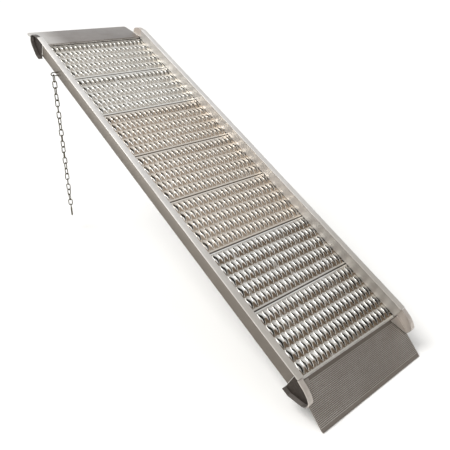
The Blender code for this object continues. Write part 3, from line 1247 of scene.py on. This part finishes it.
@dataclass(frozen=True)
class ForgedHook:
    """The hook: a tapering bar bent to a bowl, with a round eye. Its sizes are radii."""

    eye: float = 0.0084
    eye_wire: float = 0.0028
    stock: float = 0.0048
    facets: int = 6
    bowl: float = 0.0145
    bowl_centre: Band = (0.0015, -0.0455)
    bowl_start: float = 135.0
    bowl_sweep: float = 237.0
    bowl_steps: int = 24
    neck: tuple[Place, ...] = (
        (-0.0008, 0.0, -0.0180), (-0.0022, 0.0, -0.0215), (-0.0045, 0.0, -0.0255),
        (-0.0070, 0.0, -0.0290))
    neck_start: float = 0.70
    neck_growth: float = 0.075
    point_start: int = 18
    point_loss: float = 0.52
    point_curve: float = 1.4
    voxel: float = 0.0006
    softening: int = 4

    def swell(self, index: int, last: int) -> float:
        """The bar's thickness at a point of its path, against its full thickness.

        Args:
            index: the point.
            last: the path's last point.

        Returns:
            The factor.
        """
        reach = max(0.0, (index - self.point_start) / (last - self.point_start))
        neck = min(1.0, self.neck_start + index * self.neck_growth)
        return neck * (1 - self.point_loss * reach ** self.point_curve)

    def make(self, eye_top: float) -> bpy.types.Object:
        """Bends the bar, adds the eye and blends them into one.

        Args:
            eye_top: how far above the pin the eye's inner edge stands.

        Returns:
            The hook, its pin at the origin.
        """
        centre = eye_top + self.eye_wire - self.eye
        path = [(0.0, 0.0, centre - self.eye), *self.neck]
        path += arc(self.bowl_centre, self.bowl, self.bowl_start, self.bowl_sweep,
                    self.bowl_steps)
        swells = [self.swell(index, len(path) - 1) for index in range(len(path))]
        bar = bent_bar("hook", path, self.stock, self.facets, swells)
        deselect_all()
        bpy.ops.mesh.primitive_torus_add(
            major_segments=40, minor_segments=16, major_radius=self.eye,
            minor_radius=self.eye_wire, location=(0, 0, centre),
            rotation=(QUARTER_TURN, 0, 0))
        bar.select_set(True)
        bpy.context.view_layer.objects.active = bar
        bpy.ops.object.join()
        remesh = bar.modifiers.new("forge", "REMESH")
        remesh.mode = "VOXEL"
        remesh.voxel_size = self.voxel
        smooth = bar.modifiers.new("soften", "SMOOTH")
        smooth.factor = 0.5
        smooth.iterations = self.softening
        apply_modifiers(bar)
        return bar


@dataclass
class SafetyChain:
    """The hanging chain: welded links, its eye on the rail, and the hook."""

    palette: Palette
    joints: list[dict]
    links: int = 23
    wire: float = 0.0048
    inner_length: float = 0.0318
    inner_width: float = 0.0143
    play: float = 0.0003
    turn: float = math.radians(68.6)
    hook_turn: float = math.radians(89)
    ring_steps: int = 28
    wire_steps: int = 12
    weld_half: float = 0.0035
    weld_swell: float = 0.12
    weld_cuts: int = 5
    eye_bow: float = 0.008
    eye_reach: float = 0.004
    eye_bend: float = 0.012
    eye_foot: float = 0.0272
    eye_steps: int = 12
    eye_facets: int = 5

    def pin(self, name: str) -> Vector:
        """Where a joint's pin is."""
        return Vector(next(j["pos_m"] for j in self.joints if j["name"] == name))

    def link(self) -> bpy.types.Object:
        """One link: a ring pulled apart into two straights, with the swelling of its weld.

        Returns:
            The link, its pin at the origin.
        """
        bend = (self.inner_width + self.wire) / 2
        straight = (self.inner_length - self.inner_width) / 2
        deselect_all()
        bpy.ops.mesh.primitive_torus_add(
            major_segments=self.ring_steps, minor_segments=self.wire_steps,
            major_radius=bend, minor_radius=self.wire / 2,
            rotation=(QUARTER_TURN, math.pi / self.ring_steps, 0))
        piece = bpy.context.object
        settle(piece, Matrix.Identity(4))
        open_whole(piece)
        move_selected(piece, lambda p: Vector(
            (p.x, p.y, p.z + math.copysign(straight, p.z))))
        select_edges(piece, lambda a, b: abs(a.z - b.z) > straight and all(
            p.x > 0 and abs(p.z) < straight + bend * 0.2 for p in (a, b)))
        bpy.ops.mesh.subdivide(number_cuts=self.weld_cuts)
        bpy.ops.mesh.select_all(action="SELECT")

        def weld(p: Vector) -> Vector:
            """A point of the wire, swollen near the middle of the welded straight.

            Args:
                p: the point.

            Returns:
                Its place.
            """
            if p.x < 0 or abs(p.z) > self.weld_half:
                return p
            size = 1.0 + self.weld_swell * math.cos(p.z / self.weld_half * math.pi / 2)
            return Vector((bend + (p.x - bend) * size, p.y * size, p.z))

        move_selected(piece, weld)
        bpy.ops.object.mode_set(mode="OBJECT")
        top = self.wire / 2 + self.play - self.inner_length / 2
        settle(piece, Matrix.Translation((0, 0, top)))
        return piece

    def eye(self) -> bpy.types.Object:
        """The bent rod on the rail.

        Returns:
            The rod, in the row frame.
        """
        bow, foot, bend = self.eye_bow, self.eye_foot, self.eye_bend
        path = [(foot, 0.0, 0.0), (bend, 0.0, 0.0)]
        path += arc((-self.eye_reach, bow), bow, 270, -180, self.eye_steps)
        path += [(bend, 0.0, 2 * bow), (foot, 0.0, 2 * bow)]
        pin = self.pin("link_01_swing")
        path = [tuple(pin + Vector(point)) for point in path]
        return bent_bar("eye", path, self.wire / 2, self.eye_facets)

    def build(self) -> None:
        """Builds the eye, every link and the hook."""
        steel, slot = self.palette.chain, "chain_steel"
        finish_piece(self.eye(), "chain_eye_rod", "ramp", steel, ("chain_eye",))
        pattern = self.link()
        turn = QUARTER_TURN
        for number in range(1, self.links + 1):
            node = f"chain_link_{number:02d}"
            piece = place_object("link", pattern.data.copy())
            place = Matrix.Translation(self.pin(f"link_{number:02d}_swing"))
            settle(piece, place @ Matrix.Rotation(turn, 4, "Z"))
            finish_piece(
                piece, f"welded_link_{number:02d}", node, steel, (node,), angle=80.0)
            turn += self.turn
        bpy.data.objects.remove(pattern, do_unlink=True)
        hook = ForgedHook().make(self.wire / 2 + self.play)
        turn += self.hook_turn - self.turn
        place = Matrix.Translation(self.pin("hook_swing"))
        settle(hook, place @ Matrix.Rotation(turn, 4, "Z"))
        finish_piece(
            hook, "forged_hook", "chain_hook", steel, ("chain_hook",), angle=80.0)


@dataclass
class Studio:
    """A plain pale floor, soft lights and the camera."""

    camera_place: Place = (-1.3219, -2.84528, 0.41672)
    camera_turn: Place = (61.479, -1.562, -39.904)
    lens: float = 39.83
    sensor: float = 36.0
    floor_size: float = 120.0
    floor_height: float = -1.006
    floor_tone: Colour = (0.88, 0.88, 0.87)
    floor_roughness: float = 0.9
    middle: Place = (0, -1.05, -0.45)
    near_sky: Colour = (0.30, 0.27, 0.24)
    far_sky: Colour = (0.88, 0.90, 0.93)
    horizon: Colour = (0.90, 0.90, 0.90)
    sky_depth: Band = (-0.75, 0.45)
    sky_rise: Band = (0.10, 0.45)

    def build(self) -> None:
        """Sets the floor, the lights, the world and the camera."""
        self.floor()
        self.sun("key", source=(-1.9, 1.7, 3.2), power=2.2, spread=34.0,
                 colour=(1.0, 0.985, 0.96))
        self.softbox("front", place=(-3.5, -4.0, 2.6), size=2.5, power=60.0,
                     colour=(1.0, 0.97, 0.94))
        self.surroundings()
        self.camera()
        bpy.context.scene.view_settings.view_transform = "Standard"

    def floor(self) -> None:
        """A wide pale floor under the ramp's lowest edge."""
        deselect_all()
        bpy.ops.mesh.primitive_plane_add(
            size=self.floor_size, location=(0, 0, self.floor_height))
        floor = bpy.context.object
        floor.name = "floor"
        g = Graph(bpy.data.materials.new("floor_paint"))
        g.feed("Base Color", (*self.floor_tone, 1.0))
        g.feed("Roughness", self.floor_roughness)
        floor.data.materials.append(g.owner)

    def surroundings(self) -> None:
        """A plain soft world, brighter behind the ramp than before it, pale at the horizon."""
        world = bpy.data.worlds.new("studio")
        bpy.context.scene.world = world
        g = Graph(world, "Background")
        _, along, height = g.axes(g.node("ShaderNodeTexCoord", {}, {}, "Generated"))
        sky = g.blend(g.span(along, self.sky_depth), self.near_sky, self.far_sky)
        g.feed("Color", g.blend(g.span(height, self.sky_rise), self.horizon, sky))

    def camera(self) -> None:
        """The camera, above and to the left of the ramp's lower end."""
        lens = bpy.data.cameras.new("camera")
        lens.lens = self.lens
        lens.sensor_width = self.sensor
        camera = place_object("camera", lens)
        camera.location = self.camera_place
        camera.rotation_euler = [math.radians(angle) for angle in self.camera_turn]
        bpy.context.scene.camera = camera

    def sun(self, name: str, source: Place, power: float, spread: float, colour: Colour) -> None:
        """One broad, soft sun.

        Args:
            name: its name.
            source: the direction that it shines from.
            power: its strength.
            spread: how wide it looks, in degrees.
            colour: its colour.
        """
        lamp = bpy.data.lights.new(name, "SUN")
        lamp.angle = math.radians(spread)
        self.hang(lamp, power, colour, -Vector(source))

    def softbox(self, name: str, place: Place, size: float, power: float, colour: Colour) -> None:
        """One square soft light, aimed at the ramp's middle.

        Args:
            name: its name.
            place: where it is.
            size: its side.
            power: its strength.
            colour: its colour.
        """
        lamp = bpy.data.lights.new(name, "AREA")
        lamp.size = size
        holder = self.hang(lamp, power, colour, Vector(self.middle) - Vector(place))
        holder.location = place

    def hang(
        self, lamp: bpy.types.Light, power: float, colour: Colour, aim: Vector,
    ) -> bpy.types.Object:
        """Puts a light into the scene.

        Args:
            lamp: the light.
            power: its strength.
            colour: its colour.
            aim: the way that it points.

        Returns:
            Its object.
        """
        lamp.energy = power
        lamp.color = colour
        holder = place_object(lamp.name, lamp)
        holder.rotation_euler = aim.to_track_quat("-Z", "Y").to_euler()
        return holder


def main() -> None:
    """Loads the frame, builds every sub-assembly and sets up the studio."""
    logging.basicConfig(level=logging.INFO, format="%(name)s: %(message)s")
    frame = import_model()
    palette = Palette()
    SerratedDeck(palette).build()
    Framework(palette, frame["nodes"]).build()
    WeldBeads(palette).build()
    SafetyChain(palette, frame["joints"]).build()
    Studio().build()


if __name__ == "__main__":
    main()
